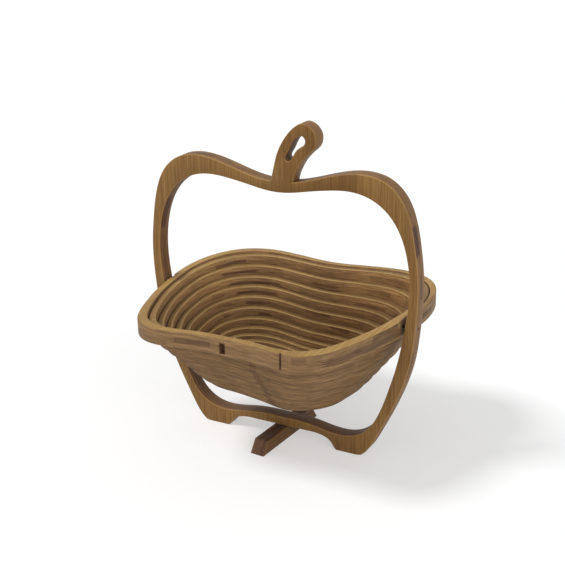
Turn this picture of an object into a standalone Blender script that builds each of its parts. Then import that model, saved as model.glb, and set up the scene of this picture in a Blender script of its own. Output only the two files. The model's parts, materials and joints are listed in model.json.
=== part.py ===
"""A folding basket sawn from one wooden board.

An apple outline, with a stem and a leaf, stands on its edge as the handle frame. The disc from
inside it is sawn into one long spiral strip: the outermost ring of it is the rim, which swings on
two pins in the frame, and the rest sinks under its own weight into a stepped bowl. A short foot
turns crosswise under the frame. Swung upright, the bowl sinks back flat into the frame.

X runs along the frame, the front is at -Y, and the frame stands at Z = 0 with the origin under
its middle.
"""
import math

import bpy
import numpy as np

# Driving dimensions, in metres
BOARD = 0.0145              # thickness of the board that every wooden piece is sawn from
OPENING_HALF = 0.1256       # the frame's opening, from its middle to its widest place
OPENING_HEIGHT = 0.2301     # from the lowest places of its bottom lobes to the top of its shoulders
SIDE_WALL = 0.0082          # frame, beside the widest place of the opening
CROWN_WALL = 0.0164         # frame, above the opening's shoulders
BAR = 0.0084                # frame, between the arch and the opening
ARCH_HALF = 0.0570          # arch between the two feet, half its span on the ground
ARCH_HEIGHT = 0.0130
PIVOT_HEIGHT = 0.1310       # the bowl's hinge above the ground
FRAME_CUT = 0.0012          # saw cut between the frame and the bowl

# Stem and leaf, above the dip in the crown
LEAF_WIDTH = 0.0442
LEAF_HEIGHT = 0.0542
LEAF_LEFT = 0.0052          # its left edge, left of the middle

# The spiral strip
TURNS = 11                  # turns of the strip below the rim
SPIRAL_CUT = 0.0010         # saw cut between one turn and the next
FIRST_TURN_SHARE = 0.62     # the rim's width where the cut starts, as a share of a turn's pitch
JUNCTION_BACK = 0.0200      # the cut starts this far behind the hinge, on the right
BASE_HALF_WIDTH = 0.0450    # the island that the spiral leaves
BASE_HALF_DEPTH = 0.0285
BASE_LEFT = 0.0058          # the island sits this far left of the middle
BASE_SQUARENESS = 2.8       # 2 is an ellipse, and more is squarer
CORNER_SLOPE = 1.13         # the lobes lie on diagonals this steep
BOWL_DEPTH = 0.0750         # from the rim's top to the island's top
LEAN = math.radians(8.3)    # the turns hang lower on one side: their slope where they lean most
LEAN_TOWARDS = math.radians(24)  # the side that hangs lower, from the right towards the back
LEAN_EASING = 0.0200        # the front half hangs level, front to back, and this eases in the slope

# Hinge
PIN_RADIUS = 0.0012
PIN_WALL = 0.0008           # wood left in the rim past a pin's tip, where the rim is thinnest
PIN_SETBACK = 0.0006        # its head, under the frame's outside
HINGE_GAP = 0.0038          # from the rim's flat at the hinge to the frame
HINGE_FLAT_HALF = 0.0085    # half the length of that flat
HINGE_SHOULDER = 0.0015     # length of the slope from the flat back to the rim's outline

# Marks in the rim's front
POCKET_WIDTH = 0.0056
POCKET_HEIGHT = 0.0098
POCKET_DEPTH = 0.0045
POCKET_RIGHT = 0.0013       # its middle, right of the middle of the rim
POCKET_DROP = 0.0036        # its top, below the rim's top
SLIT_WIDTH = 0.0018
SLIT_DEPTH = 0.0020
SLIT_RIGHT = 0.0587

# Cross foot and its screw
FOOT_LENGTH = 0.0950
FOOT_TOP_LENGTH = 0.0790
FOOT_WIDTH = 0.0145
FOOT_GAP = 0.0012           # between the foot and the bar
FOOT_TURN = math.radians(4)  # clockwise, seen from above
SCREW_RADIUS = 0.0018
SCREW_HEAD_RADIUS = 0.0036
SCREW_HEAD_HEIGHT = 0.0022
SCREW_SUNK = 0.0010         # the head's face, above the ground
SCREW_GRIP = 0.0055         # length in the bar

FIT = 0.0003                # clearance round a pin or a screw, and between the spiral's pieces
OVERRUN = 0.0040            # how far a cutter runs past what it cuts

# Right half of the opening, bottom to top: shares of its half width and of its height
OPENING_SHARES = (
    (0.0, 0.0205),
    (0.158, 0.0198),
    (0.266, 0.0135),
    (0.384, 0.0030),
    (0.508, 0.0),
    (0.623, 0.0174),
    (0.721, 0.063),
    (0.779, 0.118),
    (0.861, 0.2395),
    (0.921, 0.354),
    (0.967, 0.482),
    (1.0, 0.640),
    (0.975, 0.782),
    (0.921, 0.868),
    (0.837, 0.934),
    (0.716, 0.980),
    (0.560, 1.0),
    (0.400, 0.9945),
    (0.240, 0.980),
    (0.110, 0.967),
    (0.0, 0.9625),
)

# Right half of the frame's outside, foot to crown: shares of its half width and of its height
OUTSIDE_SHARES = (
    (0.612, 0.0035),
    (0.634, 0.0130),
    (0.669, 0.0350),
    (0.732, 0.0930),
    (0.785, 0.1470),
    (0.882, 0.2580),
    (0.950, 0.3670),
    (0.984, 0.4890),
    (1.0, 0.6350),
    (0.976, 0.7680),
    (0.942, 0.8560),
    (0.877, 0.9320),
    (0.760, 0.9840),
    (0.590, 1.0),
    (0.414, 0.9850),
    (0.262, 0.9620),
    (0.118, 0.9450),
    (0.0, 0.9400),
)
SIDE_SHARE = 0.6            # the outline's sides lie further out than this share of its half width
FOOT_TOE_SHARE = 0.577      # outer end of the foot's flat, a share of the frame's half width

# Right half of the arch, ground to middle: shares of its half span and of its height
ARCH_SHARES = (
    (0.970, 0.12),
    (0.935, 0.36),
    (0.880, 0.64),
    (0.800, 0.84),
    (0.690, 0.96),
    (0.600, 1.0),
)

# Stem and leaf, from the right of the stem round to its left: shares of their width and height
LEAF_SHARES = (
    (0.470, 0.02),
    (0.510, 0.14),
    (0.556, 0.22),
    (0.640, 0.34),
    (0.840, 0.52),
    (0.960, 0.62),
    (1.0, 0.72),
    (0.985, 0.82),
    (0.900, 0.92),
    (0.800, 0.975),
    (0.690, 0.99),
    (0.550, 0.94),
    (0.360, 0.79),
    (0.220, 0.62),
    (0.120, 0.44),
    (0.065, 0.27),
    (0.020, 0.12),
    (0.0, 0.03),
)
LEAF_SLOT_SHARES = (
    (0.318, 0.385),
    (0.370, 0.360),
    (0.420, 0.375),
    (0.520, 0.500),
    (0.650, 0.605),
    (0.740, 0.665),
    (0.752, 0.730),
    (0.680, 0.790),
    (0.560, 0.755),
    (0.450, 0.640),
    (0.370, 0.510),
)

# Shares of the turns, and of the depth that the strip has reached there
SINK_SHARES = (
    (0.0, 0.0),
    (0.091, 0.115),
    (0.182, 0.252),
    (0.273, 0.360),
    (0.409, 0.522),
    (0.545, 0.692),
    (0.727, 0.862),
    (0.909, 0.948),
    (1.0, 1.0),
)

# Shares of the turns, and of the strip's greatest lean
LEAN_SHARES = (
    (0.0, 0.0),
    (0.091, 0.21),
    (0.273, 0.54),
    (0.545, 0.77),
    (0.818, 1.0),
    (1.0, 0.0),
)

CURVE_STEPS = 24            # between two given points of a curve, before it is read evenly
OUTSIDE_SAMPLES = 64        # on each side of the frame
OPENING_SAMPLES = 120
ARCH_SAMPLES = 7
LEAF_SAMPLES = 44
SLOT_SAMPLES = 24
SINK_SAMPLES = 100
RIM_STATIONS = 96
TURN_STATIONS = 64
ROUND_SIDES = 16

# Sizes that follow from the ones above
bar_top = ARCH_HEIGHT + BAR
opening_floor = bar_top - OPENING_SHARES[0][1] * OPENING_HEIGHT
outside_half = OPENING_HALF + SIDE_WALL
frame_height = opening_floor + OPENING_HEIGHT + CROWN_WALL
rim_top = PIVOT_HEIGHT + BOARD / 2
rim_bottom = PIVOT_HEIGHT - BOARD / 2
foot_height = ARCH_HEIGHT - FOOT_GAP


def knot_slopes(points, steps, closed):
    """Slopes at the points of a cubic spline with no break in its curvature."""
    count = len(points)
    matrix = np.zeros((count, count))
    right = np.zeros((count, 2))
    for i in range(count):
        before = i - 1 if i > 0 or closed else None
        after = (i + 1) % count if i + 1 < count or closed else None
        if before is not None:
            step = steps[before % len(steps)]
            matrix[i, before] += 1 / step
            matrix[i, i] += 2 / step
            right[i] += 3 * (points[i] - points[before]) / step**2
        if after is not None:
            step = steps[i]
            matrix[i, after] += 1 / step
            matrix[i, i] += 2 / step
            right[i] += 3 * (points[after] - points[i]) / step**2
    return np.linalg.solve(matrix, right)


def smooth_curve(points, samples, closed=False):
    """Points spaced evenly along a smooth curve through the given ones."""
    points = np.array(points, float)
    following = np.roll(points, -1, axis=0) if closed else points[1:]
    starts = points if closed else points[:-1]
    steps = np.linalg.norm(following - starts, axis=1)
    slopes = knot_slopes(points, steps, closed)
    slopes_after = np.roll(slopes, -1, axis=0) if closed else slopes[1:]
    dense = []
    for start, end, step, s0, s1 in zip(starts, following, steps, slopes, slopes_after):
        for t in np.linspace(0, 1, CURVE_STEPS, endpoint=False):
            rise = t * t * (3 - 2 * t)
            bend = step * (t * (1 - t) ** 2 * s0 - t * t * (1 - t) * s1)
            dense.append(start + (end - start) * rise + bend)
    dense.append(following[-1])
    dense = np.array(dense)
    along = np.concatenate([[0], np.cumsum(np.linalg.norm(np.diff(dense, axis=0), axis=1))])
    places = np.linspace(0, along[-1], samples, endpoint=not closed)
    return np.stack([np.interp(places, along, dense[:, axis]) for axis in (0, 1)], axis=1)


def scaled(shares, width, height, left=0.0, floor=0.0):
    return [(left + x * width, floor + z * height) for x, z in shares]


def mirrored(half):
    """The right half of a closed outline, from bottom to top, and its mirror image back down."""
    return half + [(-x, z) for x, z in reversed(half) if x > 0]


def opening_outline(samples):
    half = scaled(OPENING_SHARES, OPENING_HALF, OPENING_HEIGHT, floor=opening_floor)
    return smooth_curve(mirrored(half), samples, closed=True)


def half_width_at(outline, height):
    """The outline's half width at a height, on its right side."""
    side = outline[outline[:, 0] > outline[:, 0].max() * SIDE_SHARE]
    side = side[np.argsort(side[:, 1])]
    return float(np.interp(height, side[:, 1], side[:, 0]))


def frame_outside():
    """The outside of the frame, the leaf and the arch, counterclockwise from the front."""
    half = scaled(OUTSIDE_SHARES, outside_half, frame_height)
    right = smooth_curve(half, OUTSIDE_SAMPLES)
    crown = right[-1, 1]
    leaf = smooth_curve(scaled(LEAF_SHARES, LEAF_WIDTH, LEAF_HEIGHT, -LEAF_LEFT, crown), LEAF_SAMPLES)
    clear_of_stem = right[(right[:, 0] > leaf[0, 0] + FIT) | (right[:, 1] < crown / 2)]
    left = right[::-1] * (-1, 1)
    left = left[(left[:, 0] < leaf[-1, 0] - FIT) | (left[:, 1] < crown / 2)]
    toe = np.array([[FOOT_TOE_SHARE * outside_half, 0]])
    arch_points = [(ARCH_HALF, 0)] + scaled(ARCH_SHARES, ARCH_HALF, ARCH_HEIGHT)
    arch = smooth_curve(arch_points, ARCH_SAMPLES)
    return np.concatenate([
        arch[::-1], toe, clear_of_stem, leaf, left, toe * (-1, 1), arch * (-1, 1),
    ])


def bowl_outline():
    """The bowl's outline in plan, as angles from +X and distances from its middle.

    It is what the saw leaves of the opening, laid flat: the hinge's height becomes Y = 0.
    """
    opening = opening_outline(OPENING_SAMPLES * 6)
    along = np.roll(opening, -1, axis=0) - np.roll(opening, 1, axis=0)
    inward = np.stack([-along[:, 1], along[:, 0]], axis=1)
    inward /= np.linalg.norm(inward, axis=1, keepdims=True)
    outline = opening + inward * FRAME_CUT
    x = outline[:, 0]
    y = outline[:, 1] - PIVOT_HEIGHT
    angles = np.unwrap(np.arctan2(y, x))
    order = np.argsort(angles)
    return angles[order], np.hypot(x, y)[order]


OUTLINE_ANGLES, OUTLINE_RADII = bowl_outline()


def outline_radius(angle):
    return float(np.interp(angle, OUTLINE_ANGLES, OUTLINE_RADII, period=2 * math.pi))


def island_radius(angle):
    """The spiral tends to this rounded rectangle."""
    across = abs(math.cos(angle)) / BASE_HALF_WIDTH
    along = abs(math.sin(angle)) / BASE_HALF_DEPTH
    return (across**BASE_SQUARENESS + along**BASE_SQUARENESS) ** (-1 / BASE_SQUARENESS)


JUNCTION_ANGLE = math.asin(JUNCTION_BACK / outline_radius(0))


def cut_edge(turns_in, inwards=0.0):
    """A point on the spiral cut's outer edge, or inwards of it, after so many turns."""
    angle = JUNCTION_ANGLE + 2 * math.pi * turns_in
    share = (turns_in + FIRST_TURN_SHARE) / (TURNS + 1 + FIRST_TURN_SHARE)
    outer = outline_radius(angle)
    radius = outer + (island_radius(angle) - outer) * share - inwards
    return radius * math.cos(angle) - BASE_LEFT * share, radius * math.sin(angle)


SINK_CURVE = smooth_curve(SINK_SHARES, SINK_SAMPLES)
LEAN_CURVE = smooth_curve(LEAN_SHARES, SINK_SAMPLES)


def sunk(turns_in, x, y):
    """How far the strip has sunk at a point of it, after so many turns."""
    share = turns_in / TURNS
    slope = math.tan(LEAN) * np.interp(share, LEAN_CURVE[:, 0], LEAN_CURVE[:, 1])
    behind = (y + math.hypot(y, LEAN_EASING)) / 2
    across = x * math.cos(LEAN_TOWARDS) + behind * math.sin(LEAN_TOWARDS)
    return BOWL_DEPTH * np.interp(share, SINK_CURVE[:, 0], SINK_CURVE[:, 1]) + slope * across


def material(name, color, roughness, metallic=0.0):
    made = bpy.data.materials.new(name)
    made.use_nodes = True
    shader = made.node_tree.nodes["Principled BSDF"]
    shader.inputs["Base Color"].default_value = (*color, 1)
    shader.inputs["Roughness"].default_value = roughness
    shader.inputs["Metallic"].default_value = metallic
    return made


def add_object(name, vertices, faces, made_of=None):
    mesh = bpy.data.meshes.new(name)
    mesh.from_pydata([tuple(float(c) for c in v) for v in vertices], [], faces)
    mesh.validate()
    obj = bpy.data.objects.new(name, mesh)
    bpy.context.scene.collection.objects.link(obj)
    if made_of is not None:
        mesh.materials.append(made_of)
    return obj


def prism(name, outline, low, high, place, made_of=None):
    """A closed prism over a counterclockwise outline; place turns (u, v, w) into a point."""
    count = len(outline)
    vertices = [place(u, v, low) for u, v in outline]
    vertices += [place(u, v, high) for u, v in outline]
    faces = [tuple(reversed(range(count))), tuple(range(count, 2 * count))]
    for i in range(count):
        j = (i + 1) % count
        faces.append((i, j, j + count, i + count))
    return add_object(name, vertices, faces, made_of)


def upright(u, v, w):
    """Drawn on the front of the frame: u right, v up, w towards the front."""
    return u, -w, v


def level(u, v, w):
    """Drawn in plan: u right, v back, w up."""
    return u, v, w


def sideways(u, v, w):
    """Drawn on the right end: u back, v up, w right."""
    return w, u, v


def circle(radius, middle=(0.0, 0.0)):
    steps = [2 * math.pi * i / ROUND_SIDES for i in range(ROUND_SIDES)]
    return [(middle[0] + radius * math.cos(a), middle[1] + radius * math.sin(a)) for a in steps]


def rectangle(left, right, bottom, top):
    return [(left, bottom), (right, bottom), (right, top), (left, top)]


def cut(obj, name, outline, low, high, place):
    """Takes a prism out of an object."""
    cutter = prism(f"{name}_cutter", outline, low, high, place)
    cutter.hide_render = True
    cutter.display_type = "WIRE"
    modifier = obj.modifiers.new(name, "BOOLEAN")
    modifier.operation = "DIFFERENCE"
    modifier.solver = "EXACT"
    modifier.object = cutter


def make_frame(wood):
    frame = prism("handle_frame", frame_outside(), -BOARD / 2, BOARD / 2, upright, wood)
    through = BOARD / 2 + OVERRUN
    cut(frame, "opening", opening_outline(OPENING_SAMPLES), -through, through, upright)
    crown = OUTSIDE_SHARES[-1][1] * frame_height
    slot = scaled(LEAF_SLOT_SHARES, LEAF_WIDTH, LEAF_HEIGHT, -LEAF_LEFT, crown)
    cut(frame, "leaf_slot", smooth_curve(slot, SLOT_SAMPLES, closed=True), -through, through, upright)
    bore = circle(PIN_RADIUS + FIT, (0, PIVOT_HEIGHT))
    inside = half_width_at(opening_outline(OPENING_SAMPLES), PIVOT_HEIGHT) - OVERRUN
    outside = outside_half + OVERRUN
    cut(frame, "right_pin_bore", bore, inside, outside, sideways)
    cut(frame, "left_pin_bore", bore, -outside, -inside, sideways)
    screw_top = ARCH_HEIGHT + SCREW_GRIP + FIT
    cut(frame, "screw_bore", circle(SCREW_RADIUS + FIT), ARCH_HEIGHT - OVERRUN, screw_top, level)
    return frame


def hinge_flat():
    """Distance from the middle to the flats that the rim has at its hinge."""
    return half_width_at(opening_outline(OPENING_SAMPLES), PIVOT_HEIGHT) - HINGE_GAP


def pin_tip():
    """Distance from the middle to the pins' inner ends: the rim is thinner at its left hinge."""
    turn_to_hinge = JUNCTION_ANGLE / (2 * math.pi)
    inner = [abs(cut_edge(turns_in - turn_to_hinge)[0]) for turns_in in (0.5, 1.0)]
    return max(inner) + FIT + PIN_WALL


def rim_edge(turns_in):
    """The rim's outline, with its flats at the two hinges."""
    angle = JUNCTION_ANGLE + 2 * math.pi * turns_in
    radius = outline_radius(angle)
    x = radius * math.cos(angle)
    y = radius * math.sin(angle)
    slope = max(0.0, (abs(y) - HINGE_FLAT_HALF) / HINGE_SHOULDER)
    widest = hinge_flat() + slope * HINGE_GAP
    return math.copysign(min(abs(x), widest), x), y


def rim_places():
    """Even places around the rim and the corners of its flats, in turns from the junction."""
    places = [i / RIM_STATIONS for i in range(RIM_STATIONS)]
    for x in (hinge_flat(), -hinge_flat()):
        for y in (HINGE_FLAT_HALF, HINGE_FLAT_HALF + HINGE_SHOULDER):
            for corner in (math.atan2(y, x), math.atan2(-y, x)):
                places.append((corner - JUNCTION_ANGLE) / (2 * math.pi) % 1.0)
    return sorted(places)


def make_rim(wood):
    """The board outside the spiral cut's first turn, with a step where the strip leaves it."""
    places = rim_places()
    outer = [rim_edge(s) for s in places]
    inner = [cut_edge(s) for s in places + [1.0]]
    count = len(outer)
    flat = [p + (z,) for z in (rim_bottom, rim_top) for p in outer + inner]
    layer = 2 * count + 1
    faces = []
    for i in range(count):
        j = (i + 1) % count
        a, b, c, d = i, j, count + i + 1, count + i
        ring = [a, b, c, d] if j else [a, b, count, c, d]
        faces.append(tuple(reversed(ring)))
        faces.append(tuple(v + layer for v in ring))
        faces.append((a, b, b + layer, a + layer))
        faces.append((c, d, d + layer, c + layer))
    last = layer - 1
    faces.append((count, last, last + layer, count + layer))
    rim = add_object("bowl_rim", flat, faces, wood)

    front = -outline_radius(-math.pi / 2)
    pocket = rectangle(
        POCKET_RIGHT - POCKET_WIDTH / 2,
        POCKET_RIGHT + POCKET_WIDTH / 2,
        rim_top - POCKET_DROP - POCKET_HEIGHT,
        rim_top - POCKET_DROP,
    )
    cut(rim, "pocket", pocket, -front - POCKET_DEPTH, -front + OVERRUN, upright)
    slit_angle = -math.acos(SLIT_RIGHT / outline_radius(-math.atan(CORNER_SLOPE)))
    slit_front = -outline_radius(slit_angle) * math.sin(slit_angle)
    slit = rectangle(
        SLIT_RIGHT - SLIT_WIDTH / 2,
        SLIT_RIGHT + SLIT_WIDTH / 2,
        rim_bottom - OVERRUN,
        rim_top + OVERRUN,
    )
    cut(rim, "slit", slit, slit_front - SLIT_DEPTH, slit_front + OVERRUN, upright)
    bore = circle(PIN_RADIUS + FIT, (0, PIVOT_HEIGHT))
    end = pin_tip() - FIT
    cut(rim, "right_pin_bore", bore, end, hinge_flat() + OVERRUN, sideways)
    cut(rim, "left_pin_bore", bore, -hinge_flat() - OVERRUN, -end, sideways)
    return rim


def make_turn(number, wood):
    """One turn of the strip, which sinks from the turn outside it to the turn inside it."""
    trim = FIT / (2 * math.pi * math.hypot(*cut_edge(number)))
    places = np.linspace(number - 1 + trim, number - trim, TURN_STATIONS)
    vertices = []
    for s in places:
        outer = cut_edge(s, SPIRAL_CUT)
        inner = cut_edge(s + 1)
        drop = sunk(s, (outer[0] + inner[0]) / 2, (outer[1] + inner[1]) / 2)
        top = rim_top - drop
        bottom = rim_bottom - drop
        vertices += [(*outer, bottom), (*outer, top), (*inner, top), (*inner, bottom)]
    faces = [(0, 1, 2, 3)]
    for i in range(TURN_STATIONS - 1):
        for k in range(4):
            a = 4 * i + k
            b = 4 * i + (k + 1) % 4
            faces.append((b, a, a + 4, b + 4))
    end = 4 * (TURN_STATIONS - 1)
    faces.append((end + 3, end + 2, end + 1, end))
    return add_object(f"spiral_turn_{number:02d}", vertices, faces, wood)


def make_base(wood):
    """The island inside the spiral, with a step where the strip meets it."""
    places = [TURNS + i / TURN_STATIONS for i in range(TURN_STATIONS + 1)]
    outline = [cut_edge(s, SPIRAL_CUT) for s in places]
    return prism("bowl_base", outline, rim_bottom - BOWL_DEPTH, rim_top - BOWL_DEPTH, level, wood)


def make_foot(wood):
    """A bar with slanted ends, on a screw under the frame."""
    profile = [
        (-FOOT_LENGTH / 2, 0),
        (FOOT_LENGTH / 2, 0),
        (FOOT_TOP_LENGTH / 2, foot_height),
        (-FOOT_TOP_LENGTH / 2, foot_height),
    ]
    foot = prism("cross_foot", profile, -FOOT_WIDTH / 2, FOOT_WIDTH / 2, sideways, wood)
    foot.rotation_euler.z = -FOOT_TURN
    cut(foot, "screw_hole", circle(SCREW_RADIUS + FIT), -OVERRUN, foot_height + OVERRUN, level)
    head_top = SCREW_SUNK + SCREW_HEAD_HEIGHT + FIT
    cut(foot, "screw_recess", circle(SCREW_HEAD_RADIUS + FIT), -OVERRUN, head_top, level)
    return foot


def make_screw(steel):
    """A flat headed screw, turned about its own axis."""
    shoulder = SCREW_SUNK + SCREW_HEAD_HEIGHT
    tip = ARCH_HEIGHT + SCREW_GRIP
    profile = [
        (SCREW_HEAD_RADIUS, SCREW_SUNK),
        (SCREW_HEAD_RADIUS, shoulder),
        (SCREW_RADIUS, shoulder),
        (SCREW_RADIUS, tip),
    ]
    vertices = [(x, y, z) for radius, z in profile for x, y in circle(radius)]
    faces = [tuple(reversed(range(ROUND_SIDES)))]
    for ring in range(len(profile) - 1):
        for i in range(ROUND_SIDES):
            a = ring * ROUND_SIDES + i
            b = ring * ROUND_SIDES + (i + 1) % ROUND_SIDES
            faces.append((a, b, b + ROUND_SIDES, a + ROUND_SIDES))
    top = (len(profile) - 1) * ROUND_SIDES
    faces.append(tuple(range(top, top + ROUND_SIDES)))
    return add_object("foot_screw", vertices, faces, steel)


def make_pin(name, side, steel):
    """A smooth pin through the frame's side into the rim."""
    outside = half_width_at(frame_outside(), PIVOT_HEIGHT) - PIN_SETBACK
    low, high = sorted((side * pin_tip(), side * outside))
    return prism(name, circle(PIN_RADIUS, (0, PIVOT_HEIGHT)), low, high, sideways, steel)


def make_basket():
    frame_wood = material("frame_wood", (0.30, 0.17, 0.06), 0.45)
    bowl_wood = material("bowl_wood", (0.40, 0.24, 0.10), 0.5)
    steel = material("steel", (0.55, 0.53, 0.50), 0.35, 1.0)
    make_frame(frame_wood)
    make_rim(bowl_wood)
    for number in range(1, TURNS + 1):
        make_turn(number, bowl_wood)
    make_base(bowl_wood)
    make_foot(frame_wood)
    make_screw(steel)
    make_pin("pivot_pin_right", 1, steel)
    make_pin("pivot_pin_left", -1, steel)


for old in list(bpy.data.objects):
    bpy.data.objects.remove(old)
make_basket()
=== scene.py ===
"""Looks of the folding basket: sawn board with rounded edges, grain and finish, on a pale floor."""
import json
import math

import bmesh
import bpy
import numpy as np
from mathutils import Matrix, Vector


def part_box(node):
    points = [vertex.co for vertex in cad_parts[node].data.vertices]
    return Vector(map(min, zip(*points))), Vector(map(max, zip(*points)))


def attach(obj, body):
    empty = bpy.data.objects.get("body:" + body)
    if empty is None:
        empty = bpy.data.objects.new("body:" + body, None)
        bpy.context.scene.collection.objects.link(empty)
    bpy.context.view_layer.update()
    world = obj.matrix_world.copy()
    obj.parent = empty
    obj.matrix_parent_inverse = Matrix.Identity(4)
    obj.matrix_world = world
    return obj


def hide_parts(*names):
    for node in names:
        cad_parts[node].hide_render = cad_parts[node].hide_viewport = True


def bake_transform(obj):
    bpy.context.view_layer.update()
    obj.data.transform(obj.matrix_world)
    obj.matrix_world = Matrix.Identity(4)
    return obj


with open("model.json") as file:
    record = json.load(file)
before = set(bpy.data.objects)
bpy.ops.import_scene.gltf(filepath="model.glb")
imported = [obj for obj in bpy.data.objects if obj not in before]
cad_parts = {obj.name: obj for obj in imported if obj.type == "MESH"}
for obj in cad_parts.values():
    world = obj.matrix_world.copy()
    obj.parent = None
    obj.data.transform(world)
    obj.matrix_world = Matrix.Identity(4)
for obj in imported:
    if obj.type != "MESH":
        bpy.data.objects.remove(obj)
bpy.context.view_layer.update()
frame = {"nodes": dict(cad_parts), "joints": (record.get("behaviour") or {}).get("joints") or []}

# Sizes that the frame gives
PIVOT_HEIGHT = next(j["pos_m"][2] for j in frame["joints"] if j["name"] == "bowl_fold")
BASE_LOW, BASE_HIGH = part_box("bowl_base")
BOARD = BASE_HIGH.z - BASE_LOW.z
RIM_TOP = PIVOT_HEIGHT + BOARD / 2
BOWL_DEPTH = RIM_TOP - BASE_HIGH.z
RISES = [j["range_m"][1] for j in frame["joints"] if j["type"] == "slide"]
BODY_DEPTHS = np.concatenate([[0.0], np.cumsum(RISES)])  # what the rim and each turn's body rise by

# Driving dimensions, as the solids have them, in metres
OPENING_HALF = 0.1256
OPENING_HEIGHT = 0.2301
SIDE_WALL = 0.0082
CROWN_WALL = 0.0164
BAR = 0.0084
ARCH_HALF = 0.0570
ARCH_HEIGHT = 0.0130
FRAME_CUT = 0.0012
LEAF_WIDTH = 0.0442
LEAF_HEIGHT = 0.0542
LEAF_LEFT = 0.0052
TURNS = 11
SPIRAL_CUT = 0.0010
FIRST_TURN_SHARE = 0.62
JUNCTION_BACK = 0.0200
BASE_HALF_WIDTH = 0.0450
BASE_HALF_DEPTH = 0.0285
BASE_LEFT = 0.0058
BASE_SQUARENESS = 2.8
CORNER_SLOPE = 1.13
LEAN = math.radians(8.3)
LEAN_TOWARDS = math.radians(24)
LEAN_EASING = 0.0200
# At the right hinge, 1, as the solids have it, and at the left, -1, where hardly a gap is seen
HINGE_GAP = {1: 0.0038, -1: 0.0017}
HINGE_FLAT_HALF = {1: 0.0085, -1: 0.0075}
HINGE_SHOULDER = 0.0015
POCKET_WIDTH = 0.0056
POCKET_HEIGHT = 0.0098
POCKET_DEPTH = 0.0045
POCKET_RIGHT = 0.0013
POCKET_DROP = 0.0036
SLIT_WIDTH = 0.0018
SLIT_DEPTH = 0.0020
SLIT_RIGHT = 0.0587
FOOT_LENGTH = 0.0950
FOOT_TOP_LENGTH = 0.0790
FOOT_WIDTH = 0.0145
FOOT_GAP = 0.0012
FOOT_TURN = math.radians(4)
SCREW_RADIUS = 0.0018
SCREW_HEAD_RADIUS = 0.0036
SCREW_HEAD_HEIGHT = 0.0022
SCREW_SUNK = 0.0010
PIN_RADIUS = 0.0012
PIN_WALL = 0.0008
FIT = 0.0003
OVERRUN = 0.0040
ARRIS = 0.0007              # rounding of the board's long edges
ARRIS_MIDDLE = ARRIS * (1 - math.sqrt(0.5))  # how far in the middle of the rounding lies
SHARP_ANGLE = math.radians(50)

OPENING_SHARES = (
    (0.0, 0.0205),
    (0.158, 0.0198),
    (0.266, 0.0135),
    (0.384, 0.0030),
    (0.508, 0.0),
    (0.623, 0.0174),
    (0.721, 0.063),
    (0.779, 0.118),
    (0.861, 0.2395),
    (0.921, 0.354),
    (0.967, 0.482),
    (1.0, 0.640),
    (0.975, 0.782),
    (0.921, 0.868),
    (0.837, 0.934),
    (0.716, 0.980),
    (0.560, 1.0),
    (0.400, 0.9945),
    (0.240, 0.980),
    (0.110, 0.967),
    (0.0, 0.9625),
)
OUTSIDE_SHARES = (
    (0.612, 0.0035),
    (0.634, 0.0130),
    (0.669, 0.0350),
    (0.732, 0.0930),
    (0.785, 0.1470),
    (0.882, 0.2580),
    (0.950, 0.3670),
    (0.984, 0.4890),
    (1.0, 0.6350),
    (0.976, 0.7680),
    (0.942, 0.8560),
    (0.877, 0.9320),
    (0.760, 0.9840),
    (0.590, 1.0),
    (0.414, 0.9850),
    (0.262, 0.9620),
    (0.118, 0.9450),
    (0.0, 0.9400),
)
SIDE_SHARE = 0.6
FOOT_TOE_SHARE = 0.577
ARCH_SHARES = (
    (0.970, 0.12),
    (0.935, 0.36),
    (0.880, 0.64),
    (0.800, 0.84),
    (0.690, 0.96),
    (0.600, 1.0),
)
LEAF_SHARES = (
    (0.470, 0.02),
    (0.510, 0.14),
    (0.556, 0.22),
    (0.640, 0.34),
    (0.840, 0.52),
    (0.960, 0.62),
    (1.0, 0.72),
    (0.985, 0.82),
    (0.900, 0.92),
    (0.800, 0.975),
    (0.690, 0.99),
    (0.550, 0.94),
    (0.360, 0.79),
    (0.220, 0.62),
    (0.120, 0.44),
    (0.065, 0.27),
    (0.020, 0.12),
    (0.0, 0.03),
)
LEAF_SLOT_SHARES = (
    (0.318, 0.385),
    (0.370, 0.360),
    (0.420, 0.375),
    (0.520, 0.500),
    (0.650, 0.605),
    (0.740, 0.665),
    (0.752, 0.730),
    (0.680, 0.790),
    (0.560, 0.755),
    (0.450, 0.640),
    (0.370, 0.510),
)

SINK_SHARES = (
    (0.0, 0.0),
    (0.091, 0.115),
    (0.182, 0.252),
    (0.273, 0.360),
    (0.409, 0.522),
    (0.545, 0.692),
    (0.727, 0.862),
    (0.909, 0.948),
    (1.0, 1.0),
)
LEAN_SHARES = (
    (0.0, 0.0),
    (0.091, 0.21),
    (0.273, 0.54),
    (0.545, 0.77),
    (0.818, 1.0),
    (1.0, 0.0),
)

CURVE_STEPS = 24
OUTSIDE_SAMPLES = 240
OPENING_SAMPLES = 480
ARCH_SAMPLES = 26
LEAF_SAMPLES = 120
SLOT_SAMPLES = 72
SINK_SAMPLES = 100
RIM_STATIONS = 480
TURN_STATIONS = 241
ROUND_SIDES = 48

# A turn is cut into parts, each short enough to bend flat between two bodies
FLAT_MISS = 0.0008          # how far from flat a folded part may be
JOIN_MISS = 0.0003          # and how far its ends may be
LEAST_BEND = 0.001          # share of a bend that a part takes, at least

# Where a loop moves inwards: the least length of a direction, and of its turn at a corner
TINY = 1e-6
LEAST_TURN = 0.5

opening_floor = ARCH_HEIGHT + BAR - OPENING_SHARES[0][1] * OPENING_HEIGHT
outside_half = OPENING_HALF + SIDE_WALL
frame_height = opening_floor + OPENING_HEIGHT + CROWN_WALL
rim_bottom = PIVOT_HEIGHT - BOARD / 2
foot_height = ARCH_HEIGHT - FOOT_GAP


# Curves and outlines, as the solids have them

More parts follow.
